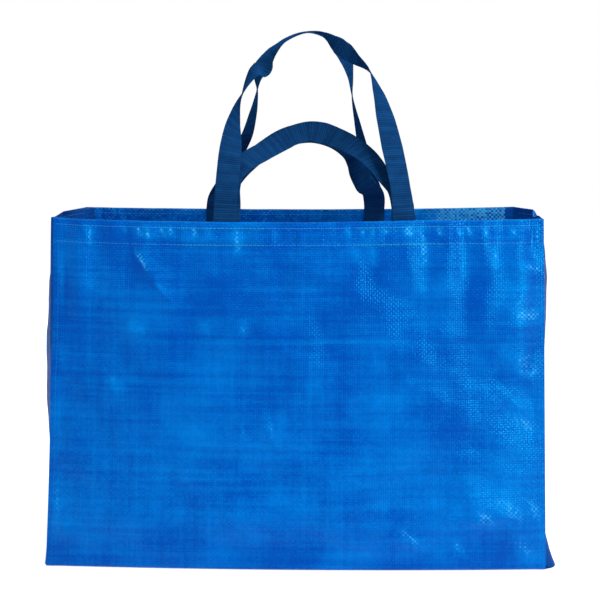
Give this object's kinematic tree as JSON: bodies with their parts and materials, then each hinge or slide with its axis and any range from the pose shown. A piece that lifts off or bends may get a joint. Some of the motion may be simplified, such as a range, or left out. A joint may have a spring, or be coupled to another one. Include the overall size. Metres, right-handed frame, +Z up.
{
  "type": "reusable shopping bag",
  "caption": "Large open-topped reusable shopping bag of coated woven cloth with pleated side gussets, a stitched hem and long and short webbing handles front and rear.",
  "frame": {"origin": "on the floor under the middle of the bag", "axes": "+Z up, +X along the width of the front panel to the right, +Y from the front panel to the rear panel"},
  "size_m": [0.7243, 0.2368, 0.7192],
  "materials": {
    "coated_cloth": "blue coated tape weave with a soft sheen",
    "webbing": "matt navy ribbed webbing",
    "thread": "pale sewing thread"
  },
  "bodies": {
    "root": {"body_panel": "coated_cloth", "left_gusset": "coated_cloth", "right_gusset": "coated_cloth", "front_long_handle": "webbing", "front_short_handle": "webbing", "rear_long_handle": "webbing", "rear_short_handle": "webbing", "upper_hem_stitching": "thread", "lower_hem_stitching": "thread"}
  },
  "joints": []
}
